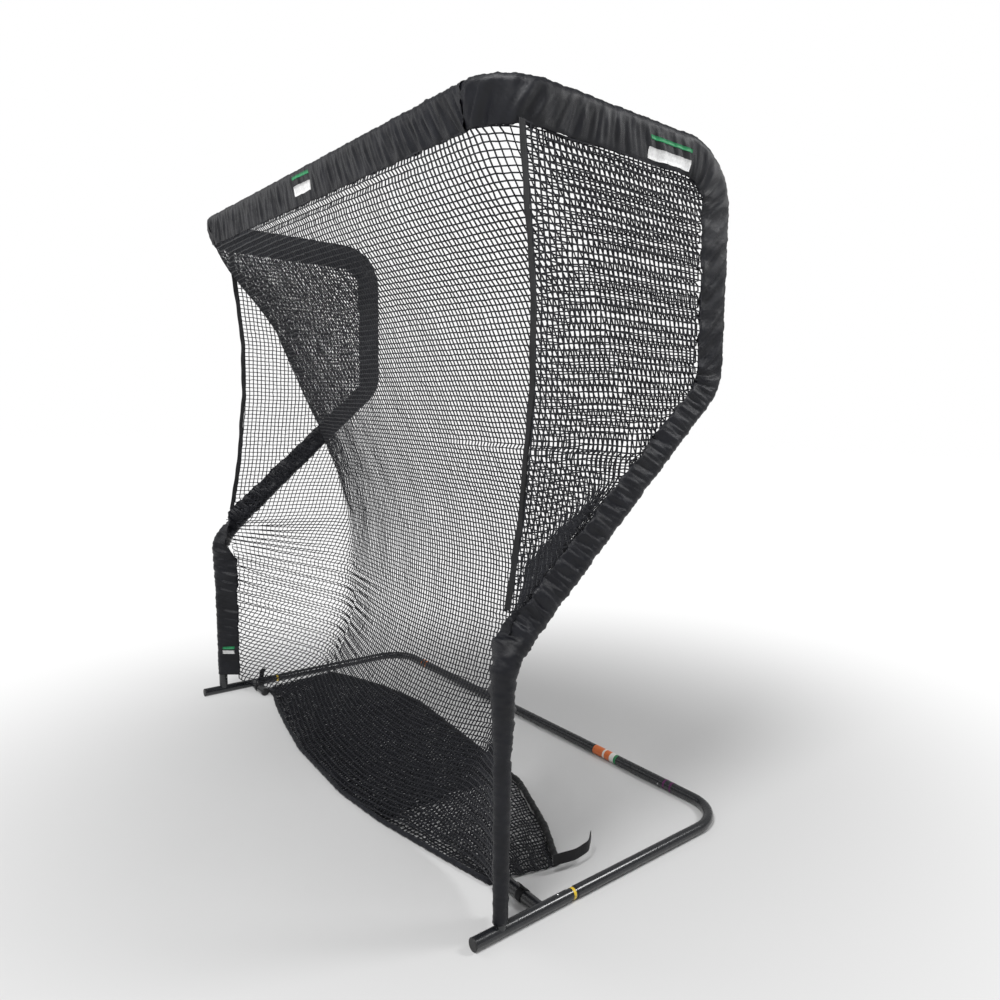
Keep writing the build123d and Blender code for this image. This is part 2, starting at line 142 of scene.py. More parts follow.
def smoothed(path, window):
    """The path averaged over a window of odd length, with both ends left in place."""
    window = window / window.sum()
    reach = len(window) // 2
    padded = np.concatenate([2 * path[0] - path[reach:0:-1], path, 2 * path[-1] - path[-2:-reach - 2:-1]])
    return np.stack([np.convolve(padded[:, k], window, "valid") for k in range(path.shape[1])], -1)


def filleted(points, radii, step):
    """Points every step along a polyline whose corners are arcs."""
    points = [np.array(p, float) for p in points]
    path = [points[0]]
    for before, corner, after, radius in zip(points, points[1:], points[2:], radii):
        into, out = unit(before - corner), unit(after - corner)
        half = np.arccos(np.clip(into @ out, -1, 1)) / 2
        centre = corner + unit(into + out) * radius / sin(half)
        start, end = corner + into * radius / np.tan(half), corner + out * radius / np.tan(half)
        across = unit(start - centre)
        along = unit((end - centre) - ((end - centre) @ across) * across)
        for turn in np.linspace(0, pi - 2 * half, 24):
            path.append(centre + radius * (across * cos(turn) + along * sin(turn)))
    path.append(points[-1])
    return resample(np.array(path), step)


def shell(name, rings, thickness):
    """A double-walled tube of cloth from rings of points: outer wall, inner wall and a lip at each end."""
    count, around, _ = rings.shape
    along = np.gradient(rings, axis=0)
    round_step = np.roll(rings, -1, axis=1) - np.roll(rings, 1, axis=1)
    normal = unit(np.cross(round_step, along))
    inner = rings - normal * thickness
    verts = np.concatenate([rings.reshape(-1, 3), inner.reshape(-1, 3)])
    index = np.arange(count * around).reshape(count, around)
    nxt = np.roll(index, -1, axis=1)
    outer_faces = np.stack([index[:-1], index[1:], nxt[1:], nxt[:-1]], -1).reshape(-1, 4)
    inner_faces = outer_faces[:, ::-1] + count * around
    rims = []
    for row, order in ((0, 1), (-1, -1)):
        lip = np.stack([index[row], nxt[row], nxt[row] + count * around, index[row] + count * around], -1)
        rims.append(lip[:, ::order])
    return new_object(name, verts, np.concatenate([outer_faces, inner_faces, *rims]))


def cords(points, valid, half, normal):
    """Square-section cords along both directions of a grid of knots, as verts and quads."""
    verts, faces, base = [], [], 0
    for axis in (0, 1):
        grid = points if axis == 0 else points.transpose(1, 0, 2)
        up = normal if axis == 0 else normal.transpose(1, 0, 2)
        here = valid if axis == 0 else valid.T
        link = here[:-1] & here[1:]
        ahead = np.zeros_like(grid)
        ahead[:-1][link] += (grid[1:] - grid[:-1])[link]
        ahead[1:][link] += (grid[1:] - grid[:-1])[link]
        used = np.zeros_like(here)
        used[:-1] |= link
        used[1:] |= link
        tangent = unit(ahead)
        flat = unit(np.cross(up, tangent))
        lift = unit(np.cross(tangent, flat))
        corners = [flat + lift, lift - flat, -flat - lift, flat - lift]
        rings = np.stack([grid + half * c for c in corners], 2)
        index = np.full(here.shape, -1)
        index[used] = np.arange(used.sum()) * 4 + base
        verts.append(rings[used].reshape(-1, 3))
        a, b = index[:-1][link], index[1:][link]
        for k in range(4):
            m = (k + 1) % 4
            faces.append(np.stack([a + k, b + k, b + m, a + m], -1))
        starts = used.copy()
        starts[1:] &= ~link
        ends = used.copy()
        ends[:-1] &= ~link
        s, e = index[starts], index[ends]
        faces.append(np.stack([s, s + 1, s + 2, s + 3], -1))
        faces.append(np.stack([e + 3, e + 2, e + 1, e], -1))
        base += int(used.sum()) * 4
    return np.concatenate(verts), np.concatenate(faces)


def surface_normal(points):
    return unit(np.cross(np.gradient(points, axis=0), np.gradient(points, axis=1)))


def net_piece(name, points, valid, half=CORD_HALF):
    """A net of knots joined by cords."""
    verts, faces = cords(points, valid, half, surface_normal(points))
    return new_object(name, verts, faces, smooth=False)


# ---------------------------------------------------------------- materials
def material(name):
    made = bpy.data.materials.new(name)
    made.use_nodes = True
    tree = made.node_tree
    shader = tree.nodes["Principled BSDF"]
    return made, tree, shader


def node(tree, kind, **settings):
    made = tree.nodes.new(kind)
    for key, value in settings.items():
        if key in made.inputs:
            made.inputs[key].default_value = value
        else:
            setattr(made, key, value)
    return made


def noise(tree, scale, detail=3.0):
    place = node(tree, "ShaderNodeTexCoord")
    made = node(tree, "ShaderNodeTexNoise", Scale=scale, Detail=detail)
    tree.links.new(place.outputs["Object"], made.inputs["Vector"])
    return made.outputs["Fac"]


def thread_waves(tree, scale, direction):
    place = node(tree, "ShaderNodeTexCoord")
    made = node(tree, "ShaderNodeTexWave", Scale=scale)
    made.bands_direction = direction
    tree.links.new(place.outputs["Object"], made.inputs["Vector"])
    return made.outputs["Fac"]


def ramp(tree, value, low, high):
    made = node(tree, "ShaderNodeValToRGB")
    made.color_ramp.elements[0].position, made.color_ramp.elements[1].position = 0.3, 0.7
    made.color_ramp.elements[0].color = (*low, 1)
    made.color_ramp.elements[1].color = (*high, 1)
    tree.links.new(value, made.inputs["Fac"])
    return made.outputs["Color"]


def spread(tree, value, low, high):
    made = node(tree, "ShaderNodeMapRange")
    made.inputs["To Min"].default_value, made.inputs["To Max"].default_value = low, high
    tree.links.new(value, made.inputs["Value"])
    return made.outputs["Result"]


def bump(tree, shader, heights, distance):
    """Bump from several (value, strength) heights, one after the other."""
    last = None
    for value, strength in heights:
        made = node(tree, "ShaderNodeBump", Strength=strength, Distance=distance)
        tree.links.new(value, made.inputs["Height"])
        if last:
            tree.links.new(last, made.inputs["Normal"])
        last = made.outputs["Normal"]
    tree.links.new(last, shader.inputs["Normal"])


def surface(name, low, high, scale, rough, fine, metallic=0.0, coat=0.0, sheen=0.0, specular=0.5):
    """A material with mottled colour, uneven roughness and a bump of the given (scale, strength, depth)."""
    made, tree, shader = material(name)
    tree.links.new(ramp(tree, noise(tree, scale), low, high), shader.inputs["Base Color"])
    tree.links.new(spread(tree, noise(tree, scale * 2.3), *rough), shader.inputs["Roughness"])
    shader.inputs["Metallic"].default_value = metallic
    shader.inputs["Coat Weight"].default_value = coat
    shader.inputs["Coat Roughness"].default_value = 0.12
    shader.inputs["Sheen Weight"].default_value = sheen
    shader.inputs["Sheen Roughness"].default_value = 0.4
    shader.inputs["Specular IOR Level"].default_value = specular
    grain, strength, depth = fine
    bump(tree, shader, [(noise(tree, grain), strength)], depth)
    return made


def woven(name, low, high, pitch, rough, sheen, specular=0.4):
    """Cloth with a plain weave of the given threads per metre, mottled and creased."""
    made, tree, shader = material(name)
    tree.links.new(ramp(tree, noise(tree, 14), low, high), shader.inputs["Base Color"])
    tree.links.new(spread(tree, noise(tree, 30), *rough), shader.inputs["Roughness"])
    shader.inputs["Sheen Weight"].default_value = sheen
    shader.inputs["Sheen Roughness"].default_value = 0.35
    shader.inputs["Specular IOR Level"].default_value = specular
    weave = [(thread_waves(tree, pitch, d), 0.12) for d in "XYZ"]
    bump(tree, shader, [(noise(tree, 55, 4), 0.35), *weave], 0.002)
    return made


PAINT = surface("frame_paint", (0.006, 0.007, 0.009), (0.011, 0.012, 0.015), 40, (0.20, 0.34),
                coat=0.5, fine=(900, 0.08, 0.0006))
STEEL = surface("button_steel", (0.52, 0.52, 0.53), (0.68, 0.68, 0.69), 300, (0.16, 0.3),
                metallic=1.0, fine=(1500, 0.06, 0.0003))
SPRING = surface("spring_steel", (0.25, 0.26, 0.29), (0.4, 0.4, 0.42), 200, (0.3, 0.45),
                 metallic=1.0, fine=(1200, 0.08, 0.0003))
CAP = surface("cap_plastic", (0.011, 0.011, 0.012), (0.02, 0.02, 0.021), 120, (0.45, 0.62),
              fine=(1600, 0.25, 0.0005))
CORD = surface("net_cord", (0.004, 0.0045, 0.007), (0.014, 0.015, 0.02), 90, (0.6, 0.85),
               sheen=0.12, specular=0.25, fine=(1100, 0.5, 0.0012))
SLEEVE = woven("sleeve_fabric", (0.0018, 0.0021, 0.0040), (0.0048, 0.0054, 0.0090), 900, (0.36, 0.52),
               0.0, 0.32)
WEBBING = woven("webbing", (0.004, 0.004, 0.005), (0.012, 0.012, 0.014), 420, (0.6, 0.8), 0.1)
HEM = woven("hem_fabric", (0.005, 0.005, 0.006), (0.016, 0.016, 0.018), 600, (0.6, 0.85), 0.2)
YELLOW = surface("yellow_mark", (0.62, 0.42, 0.02), (0.80, 0.58, 0.05), 90, (0.35, 0.5),
                 fine=(900, 0.1, 0.0004))
PURPLE = surface("purple_mark", (0.07, 0.008, 0.06), (0.13, 0.015, 0.11), 90, (0.3, 0.45),
                 fine=(900, 0.1, 0.0004))
ORANGE = surface("orange_mark", (0.55, 0.13, 0.02), (0.72, 0.2, 0.03), 90, (0.35, 0.5),
                 fine=(900, 0.1, 0.0004))
GREEN = surface("green_print", (0.0, 0.16, 0.05), (0.01, 0.26, 0.09), 200, (0.45, 0.6),
                fine=(900, 0.2, 0.0005))
WHITE = surface("white_print", (0.62, 0.62, 0.62), (0.8, 0.8, 0.8), 200, (0.45, 0.6),
                fine=(900, 0.2, 0.0005))
LOOP = surface("loop_pile", (0.42, 0.43, 0.45), (0.7, 0.7, 0.72), 160, (0.7, 0.9),
               sheen=0.4, fine=(700, 0.8, 0.002))


def label_material():
    """Generic label film: stripes of orange and white along the bar, with no lettering."""
    made, tree, shader = material("label_film")
    low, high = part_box("label_band")
    place = node(tree, "ShaderNodeTexCoord")
    split = node(tree, "ShaderNodeSeparateXYZ")
    tree.links.new(place.outputs["Object"], split.inputs[0])
    share = node(tree, "ShaderNodeMapRange")
    share.inputs["From Min"].default_value, share.inputs["From Max"].default_value = low.x, high.x
    tree.links.new(split.outputs["X"], share.inputs["Value"])
    bands = node(tree, "ShaderNodeValToRGB")
    bands.color_ramp.interpolation = "CONSTANT"
    stops = [(0.0, (0.66, 0.16, 0.04, 1)), (0.42, (0.75, 0.74, 0.7, 1)), (0.5, (0.66, 0.16, 0.04, 1)),
             (0.72, (0.75, 0.74, 0.7, 1)), (0.9, (0.02, 0.2, 0.07, 1))]
    bands.color_ramp.elements[0].color = stops[0][1]
    bands.color_ramp.elements[1].position, bands.color_ramp.elements[1].color = stops[1]
    for position, colour in stops[2:]:
        bands.color_ramp.elements.new(position).color = colour
    tree.links.new(share.outputs["Result"], bands.inputs["Fac"])
    tree.links.new(bands.outputs["Color"], shader.inputs["Base Color"])
    tree.links.new(spread(tree, noise(tree, 80), 0.3, 0.5), shader.inputs["Roughness"])
    bump(tree, shader, [(noise(tree, 600), 0.08)], 0.0004)
    return made


LABEL = label_material()


def paint(piece, look):
    piece.data.materials.clear()
    piece.data.materials.append(look)


def finish_piece(piece, look, slot, *replaced, body="frame"):
    paint(piece, look)
    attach(piece, body)
    if replaced:
        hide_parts(*replaced)
    return piece


LOOKS = {
    "button_springs": SPRING, "yellow_rings": YELLOW, "purple_rings": PURPLE, "orange_rings": ORANGE,
    "label_band": LABEL,
}
for name, cad in nodes.items():
    look = PAINT
    if name.endswith("_button"):
        look = STEEL
    elif name.endswith("_cap"):
        look = CAP
    paint(cad, LOOKS.get(name, look))

# ---------------------------------------------------------------- sleeves
ARC_POINTS, FLAP_POINTS = 15, 9
RING_STEP, FLAP_TIP_R, CLOTH_T = 0.006, 0.0022, 0.0008
FRONT, DOWN = np.array([0, -1, 0]), np.array([0, 0, -1])


def teardrop(radius, width, tip):
    """Outline of a sleeve's section: round the tube, then two straight walls to the flap's stitched tip."""
    open_angle = np.arccos((radius - tip) / (width - tip))
    arc = np.linspace(open_angle, 2 * pi - open_angle, ARC_POINTS)
    outline = [np.stack([radius * np.cos(arc), radius * np.sin(arc)], -1)]
    lower_start = outline[0][-1]
    upper_end = outline[0][0]
    tip_low = np.array([width - tip + tip * cos(open_angle), -tip * sin(open_angle)])
    tip_high = tip_low * (1, -1)
    share = np.linspace(0, 1, FLAP_POINTS + 1)[1:, None]
    outline.append(lower_start + (tip_low - lower_start) * share)
    outline.append(np.array([[width, 0.0]]))
    outline.append((tip_high + (upper_end - tip_high) * np.linspace(0, 1, FLAP_POINTS + 1)[:, None])[:-1])
    return np.concatenate(outline)


def sleeve(name, path, keys, seed, *replaced):
    """A fabric sleeve swept along a path.
    keys: (distance, flap direction, flap width, radius, gather depth, slant)."""
    line, at = path
    tangent = unit(np.gradient(line, axis=0))
    stations = [k[0] for k in keys]
    flap = np.stack([np.interp(at, stations, [k[1][c] for k in keys]) for c in range(3)], -1)
    flap = unit(flap - (flap * tangent).sum(-1, keepdims=True) * tangent)
    width, radius, depth, slant = (np.interp(at, stations, [k[c] for k in keys]) for c in (2, 3, 4, 5))
    side = np.cross(tangent, flap)
    rings = np.zeros((len(at), ARC_POINTS + 2 * FLAP_POINTS + 1, 3))
    for i, (w, d) in enumerate(zip(width, depth)):
        outline = teardrop(radius[i], w, FLAP_TIP_R)
        out = unit(np.roll(outline, 1, axis=0) - np.roll(outline, -1, axis=0))[:, ::-1] * (-1, 1)
        reach = np.clip(outline[:, 0] / w, 0, 1)
        angle = np.arctan2(outline[:, 1], outline[:, 0])
        s = at[i] + slant[i] * outline[:, 0]
        gather = folds(s, angle, [(2 * pi / 0.021, 0.9), (2 * pi / 0.034, -1.4), (2 * pi / 0.055, 0.7)], seed)
        soft = ripple(s, angle, [(2 * pi / 0.09, 1.6), (2 * pi / 0.16, -2.1), (2 * pi / 0.27, 1.2)], seed + 1)
        lift = d * (0.45 + 0.9 * np.sin(pi * reach) ** 0.7) * (0.45 + 0.75 * gather + 0.5 * soft)
        wave = ripple(at[i], 0, [(2 * pi / 0.07, 0), (2 * pi / 0.12, 0), (2 * pi / 0.23, 0)], seed + 2)
        outline = outline + out * lift[:, None]
        outline[:, 1] += 1.3 * d * wave * reach ** 2
        rings[i] = line[i] + outline[:, :1] * flap[i] + outline[:, 1:] * side[i]
    piece = shell(name, rings, CLOTH_T)
    finish_piece(piece, SLEEVE, "sleeve_fabric", *replaced)
    return rings, at


def side_path(side, foot_z):
    x = side * SIDE_X
    corners = [(x, UPRIGHT_Y, foot_z), (x, UPRIGHT_Y, LOW_KINK_Z), (x, BACK_Y, HIGH_KINK_Z),
               (x, BACK_Y, BAR_Z), (x, BAR_Y, BAR_Z), (side * BAR_HALF, BAR_Y, BAR_Z)]
    return filleted(corners, [KINK_R, KINK_R, TOP_REAR_R, TOP_FRONT_R], RING_STEP)


FOOT_ENDS = {-1: 0.100, 1: 0.0461}
sleeves = {}
for side, word in SIDES:
    foot_z = FOOT_ENDS[side]
    inward = np.array([-side, 0, 0])
    foot_flap = np.array([-side * cos(FOOT_FLAP_TURN), sin(FOOT_FLAP_TURN), 0])
    kink = LOW_KINK_Z - foot_z
    high = kink + SLOPE_LENGTH
    top = high + BAR_Z - HIGH_KINK_Z
    r = SLEEVE_R
    keys = [
        (0, foot_flap, FLAP_FOOT, r, 0.004, 0.0),
        (kink - 0.25, foot_flap, FLAP_FOOT, r + 0.003, 0.007, 0.3),
        (kink - 0.10, foot_flap, FLAP_FOOT, r + 0.010, 0.010, 0.2),
        (kink, inward, FLAP_SLOPE, r + 0.014, 0.011, 0.0),
        (kink + 0.14, SLOPE_UP, FLAP_SLOPE, r + 0.006, 0.011, 0.0),
        (kink + 0.5, SLOPE_UP, FLAP_SLOPE, r + 0.002, 0.009, 0.3),
        (high - 0.10, SLOPE_UP, FLAP_SLOPE, r, 0.007, 0.3),
        (high + 0.05, FRONT, FLAP_BACK, r, 0.007, 1.0),
        (top - 0.35, FRONT, FLAP_BACK, r, 0.007, 1.2),
        (top - 0.10, DOWN, FLAP_SIDE, r, 0.006, 0.6),
        (top + 0.25, DOWN, FLAP_SIDE, r, 0.005, 0.5),
        (top + 0.70, DOWN, FLAP_SIDE, r, 0.008, -0.6),
        (top + 1.2, DOWN, FLAP_TOP, r, 0.006, 0.0),
    ]
    sleeves[word] = sleeve(f"{word}_side_sleeve_cloth", side_path(side, foot_z), keys, 20 + side,
                           f"{word}_side_sleeve")

bar_path = resample(np.array([(-BAR_HALF, BAR_Y, BAR_Z), (BAR_HALF, BAR_Y, BAR_Z)]), RING_STEP)
bar_keys = [(0, DOWN, FLAP_TOP, SLEEVE_R, 0.008, 0.5), (0.5, DOWN, FLAP_TOP, SLEEVE_R, 0.005, 0.3),
            (1.5, DOWN, FLAP_TOP, SLEEVE_R, 0.005, -0.3), (2.1, DOWN, FLAP_TOP, SLEEVE_R, 0.008, -0.6)]
sleeves["top"] = sleeve("top_sleeve_cloth", bar_path, bar_keys, 31, "top_sleeve")

# ---------------------------------------------------------------- nets
NET_TUCK = 0.014
NET_TOP = BAR_Z - FLAP_TOP + 0.004
PLANE_X = SIDE_X - 0.012
FLAP_BACK_Y = BACK_Y - FLAP_BACK + 0.004
SEAM_LOW_Z = 0.905
SEAM_ZS = (SEAM_LOW_Z, 1.16, 1.48, 1.74, 1.94, NET_TOP)
SEAM_YS = (-0.442, -0.400, -0.370, -0.367, -0.388, -0.414)
SEAM_SHIFT = {-1: 0.05, 1: 0.0}
SEAM_X = SIDE_X - 0.002
SLOPE_END_Z = 0.86
POCKET = 0.09
ROW_STEP = 0.004
HALF_COLUMNS, SIDE_COLUMNS, RAIL_ROWS = 98, 44, 24


def slope_flap_y(z):
    """y of the slope flap's edge at height z."""
    reach = FLAP_SLOPE - NET_TUCK
    line = UPRIGHT_Y + (z - LOW_KINK_Z - reach * SLOPE_UP[2]) * SLOPE[1] / SLOPE[2]
    return np.clip(line + reach * SLOPE_UP[1], -0.43, FLAP_BACK_Y)


def flap_y(z):
    """y of the flap's edge at height z, on the back tube or the slope."""
    return FLAP_BACK_Y if z > HIGH_KINK_Z + 0.02 else slope_flap_y(z)


def seam_y(z, side):
    return np.interp(z, SEAM_ZS, SEAM_YS) + SEAM_SHIFT[side]


CENTRE = np.array([(BAR_Y, NET_TOP), (-0.40, 2.02), (-0.27, 1.80), (-0.15, 1.55), (-0.05, 1.30), (0.03, 1.08),
                   (0.055, 0.88), (0.04, 0.62), (-0.02, 0.40), (-0.13, 0.20), (-0.27, 0.07), (-0.445, 0.012)])
FOLD = np.array([(BAR_Y + 0.10, NET_TOP), (-0.235, 1.958), (-0.103, 1.649), (0.039, 1.346), (0.12, 1.10),
                 (0.14, 0.90), (0.10, 0.60)])
FOLD_X = np.array([(PLANE_X, 2.2), (PLANE_X, 1.346), (1.13, 1.05), (1.02, 0.80), (0.95, 0.55)])
EDGE_ROUTE = [(-1.085, -0.283), (-0.99, -0.284), (-0.86, -0.32), (-0.608, -0.372), (-0.31, -0.423),
              (0.15, -0.45), (0.433, -0.433), (0.755, -0.384), (0.985, -0.345), (1.1, -0.33)]
HEM_ROUTE = [(-1.12, 0.05), (-0.985, 0.11), (-0.736, 0.18), (-0.445, 0.218), (0.095, 0.16), (0.524, 0.108),
             (0.843, -0.018), (1.04, -0.125)]


def smooth_curve(points, count):
    """A smooth curve through 2D points, evenly spaced, by repeated averaging of a dense polyline."""
    lengths = distances(points)
    dense = smoothed(points_at(points, lengths, np.linspace(0, lengths[-1], 600)), np.hanning(61))
    lengths = distances(dense)
    return points_at(dense, lengths, np.linspace(0, lengths[-1], count)), lengths[-1]


def front_edge_y(x):
    return np.interp(x, [p[0] for p in EDGE_ROUTE], [p[1] for p in EDGE_ROUTE])


def bowed(start, end):
    """Points from the net's middle to a fold, level at the middle and bending back towards the fold."""
    share = np.linspace(0, 1, 16)[:, None]
    return list(start + (end - start) * np.concatenate([share, share ** 2, share ** 2], axis=1))


def half_row(z, y, t, side):
    """One half of a horizontal row of the main net, from the middle to the flap, as a dense path.
    t runs from 0 at the slope's lower end to 1 on the floor."""
    fold_y = np.interp(z, FOLD[::-1, 1], FOLD[::-1, 0])
    fold_x = np.interp(z, FOLD_X[::-1, 1], FOLD_X[::-1, 0])
    centre = np.array([0, y, z])
    if t <= 0:
        corner = np.array([fold_x, fold_y, z])
        end_y = flap_y(z)
        end = np.array([PLANE_X - 0.002, end_y, z])
        pocket = np.clip((z - 1.02) / 0.33, 0, 1) if end_y < fold_y else 0
        if side > 0 and end_y < fold_y:
            reach = PLANE_X - np.clip((y + 0.07 - end_y) / 0.93, 0, 0.6)
            corner = np.array([reach, y + 0.02, z])
            pocket = 0
        path = bowed(centre, corner)
        if pocket > 0:
            path.append(corner + np.array([0.0, POCKET * pocket, 0]))
        path.append(end)
        soft = np.interp(z, [0.85, 1.0, 1.3, 2.2], [0.11, 0.05, 0.014, 0.012])
    else:
        end_z = SLOPE_END_Z - 0.78 * t ** 1.4
        end = np.array([np.interp(end_z, [0.08, 0.70, 0.78, SLOPE_END_Z], [1.138, 1.140, 1.155, 1.182]),
                        np.interp(end_z, [0.08, 0.70, SLOPE_END_Z], [-0.404, -0.410, -0.428]), end_z])
        corner = np.array([fold_x * (1 - t) + 0.86 * t, (1 - t) * fold_y + t * y, z + (end_z - z) * 0.5 * t])
        edge = front_edge_y(side * fold_x * 0.7) - front_edge_y(0)
        corner[1] += edge * t ** 3
        if side > 0:
            corner[:2] = 0.62, y + 0.02
        path = [*bowed(centre, corner), end]
        soft = np.interp(t, [0, 0.3, 1], [0.11, 0.16, 0.10])
    path = np.array(path)
    mirrored = path * (-1, 1, 1)
    whole = np.concatenate([mirrored[:0:-1], path])
    dense, _ = resample(whole, ROW_STEP)
    width = max(3, int(soft / ROW_STEP) * 2 + 1)
    dense = smoothed(dense, np.hanning(width + 2)[1:-1])
    half = dense[len(dense) // 2:]
    half[0, 0] = 0
    return half


def main_net_grid():
    """Knots of the main net: columns measured from the middle, rows down the middle profile."""
    profile, length = smooth_curve(CENTRE, 400)
    rows = int(length / NET_CELL) + 1
    at = np.linspace(0, 1, 400)
    across = np.arange(HALF_COLUMNS)
    grid = np.zeros((2 * HALF_COLUMNS - 1, rows, 3))
    valid = np.zeros((2 * HALF_COLUMNS - 1, rows), bool)
    slope_row = None
    for j in range(rows):
        y, z = (np.interp(j / (rows - 1), at, profile[:, k]) for k in (0, 1))
        if z < SLOPE_END_Z and slope_row is None:
            slope_row = j
        t = 0 if slope_row is None else (j - slope_row + 1) / (rows - slope_row)
        for side in (-1, 1):
            half = half_row(z, y, t, side)
            lengths = distances(half)
            cells = min(HALF_COLUMNS - 1, int(lengths[-1] / NET_CELL))
            want = np.minimum(across * NET_CELL, lengths[-1])
            want[cells] = lengths[-1]
            points = points_at(half, lengths, want)
            points[:, 0] *= side
            share = np.abs(points[:, 0]) / 1.1
            if t > 0:
                bend = (front_edge_y(points[:, 0]) - front_edge_y(0)) * t ** 3
                points[:, 1] += bend * np.clip(1 - share ** 4, 0, 1)
            index = HALF_COLUMNS - 1 + side * across
            grid[index, j] = points
            valid[index, j] = across <= cells
    return grid, valid


def top_rail(grid):
    """Row 0 follows the flap of the crossbar and bends back round both corners into the side tubes."""
    turn_start = SIDE_X - TOP_FRONT_R
    for j in range(RAIL_ROWS):
        x, y = grid[:, j, 0], grid[:, j, 1]
        painted_falloff = (1 - j / RAIL_ROWS) ** 1.5
        over = np.clip(np.abs(x) - turn_start, 0, TOP_FRONT_R)
        grid[:, j, 1] = y * (1 - painted_falloff) + painted_falloff * np.where(
            np.abs(x) < PLANE_X - 0.02, BAR_Y + 0.5 * over ** 2 / TOP_FRONT_R * 1.6, y)
    return grid


def settle(grid, valid, pinned, steps):
    """Evens out the cells: knots pull to one cell apart while staying near where they are."""
    goal = grid.copy()
    for _ in range(steps):
        for axis in (0, 1):
            for start in (0, 1):
                count = grid.shape[axis]
                a = [slice(None), slice(None)]
                b = [slice(None), slice(None)]
                a[axis], b[axis] = slice(start, count - 1, 2), slice(start + 1, count, 2)
                a, b = tuple(a), tuple(b)
                gap = grid[b] - grid[a]
                size = np.linalg.norm(gap, axis=-1, keepdims=True) + 1e-9
                free_a, free_b = ~pinned[a] & valid[a], ~pinned[b] & valid[b]
                pair = (valid[a] & valid[b])[..., None]
                move = 0.35 * pair * gap * (size - NET_CELL) / size
                grid[a] += move * free_a[..., None]
                grid[b] -= move * free_b[..., None]
        grid += 0.02 * (goal - grid) * (~pinned & valid)[..., None]
    return grid


grid, valid = main_net_grid()
grid = top_rail(grid)
pinned = np.zeros_like(valid)
pinned[:, 0] = pinned[:, -1] = True
inner = valid.copy()
inner[1:-1] &= valid[:-2] & valid[2:]
pinned |= valid & ~inner
pinned[0] = pinned[-1] = True
grid = settle(grid, valid, pinned, 60)
normal = surface_normal(grid)
i, j = np.meshgrid(np.arange(grid.shape[0]), np.arange(grid.shape[1]), indexing="ij")
slack = ripple(i * 1.0, j * 1.0, [(0.35, 0.1), (0.12, 0.3), (0.5, -0.2)], 5) * 0.0025
grid = grid + normal * slack[..., None] + rng.normal(0, KNOT_JITTER, grid.shape)
grid[..., 2] = np.maximum(grid[..., 2], 0.006)
half_way = grid.shape[0] // 2
for word, span in (("left", slice(0, half_way + 1)), ("right", slice(half_way, None))):
    piece = net_piece(f"main_net_{word}", grid[span], valid[span])
    finish_piece(piece, CORD, "net_cord", "main_net")


def side_net(side, word):
    """The flat net of one side, between the seam and the flaps."""
    top = NET_TOP + 0.004
    rows = int((top - SEAM_LOW_Z) / NET_CELL) + 1
    columns = SIDE_COLUMNS
    points = np.zeros((columns, rows, 3))
    here = np.zeros((columns, rows), bool)
    for j in range(rows):
        z = top - j * NET_CELL
        start, end = seam_y(z, side), flap_y(z)
        cells = int((end - start) / NET_CELL)
        if cells < 1:
            continue
        y = np.minimum(start + np.arange(columns) * NET_CELL, end)
        y[cells:] = end
        points[:, j] = np.stack([np.full(columns, side * SEAM_X), y, np.full(columns, z)], -1)
        here[:, j] = np.arange(columns) <= cells
    k, m = np.meshgrid(np.arange(columns), np.arange(rows), indexing="ij")
    points[..., 0] += side * 0.004 * ripple(k, m, [(0.2, 0.1), (0.1, 0.17)], 8 + side)
    points[..., 2] -= 0.006 * ripple(k, m * 0.3, [(0.3, 0.1), (0.17, 0.3)], 12 + side)
    points += rng.normal(0, KNOT_JITTER, points.shape)
    piece = net_piece(f"{word}_side_net_cloth", points, here)
    finish_piece(piece, CORD, "net_cord", f"{word}_side_net")


for side, word in SIDES:
    side_net(side, word)


def strip(name, line, across, width, thickness, look, slot, *replaced):
    """A flat strip of webbing along a line, with a stitched groove near each edge."""
    outline = []
    for u in np.linspace(-1, 1, 13):
        stitch = -0.25 * (abs(abs(u) - 0.8) < 0.1)
        outline.append((u * width / 2, thickness / 2 * (1 + stitch) * (1 - 0.5 * abs(u) ** 8)))
    top = np.array(outline)
    section = np.concatenate([top, top[::-1] * (1, -1)])
    tangent = unit(np.gradient(line, axis=0))
    flat = unit(across - (across * tangent).sum(-1, keepdims=True) * tangent)
    lift = np.cross(tangent, flat)
    rings = line[:, None] + section[None, :, :1] * flat[:, None] + section[None, :, 1:] * lift[:, None]
    return tube_piece(name, rings, look, slot, *replaced)


def tube_piece(name, rings, look, slot, *replaced):
    """A closed solid from rings, with both ends capped."""
    count, around, _ = rings.shape
    index = np.arange(count * around).reshape(count, around)
    nxt = np.roll(index, -1, axis=1)
    faces = np.stack([index[:-1], nxt[:-1], nxt[1:], index[1:]], -1).reshape(-1, 4).tolist()
    faces += [index[0][::-1].tolist(), index[-1].tolist()]
    piece = new_object(name, rings.reshape(-1, 3), faces)
    return finish_piece(piece, look, slot, *replaced)


for side, word in SIDES:
    z = np.linspace(NET_TOP + 0.01, SEAM_LOW_Z + 0.02, 240)
    line = np.stack([np.full(len(z), side * SEAM_X), seam_y(z, side) - 0.010, z], -1)
    line[:, 1] += 0.0025 * ripple(z, 0, [(30, 0), (55, 0), (17, 0)], 50 + side)
    strip(f"{word}_edge_webbing_strip", line, np.array([0, 1.0, 0]) + np.zeros_like(line), 0.018, 0.003,
          WEBBING, "webbing", f"{word}_edge_webbing")


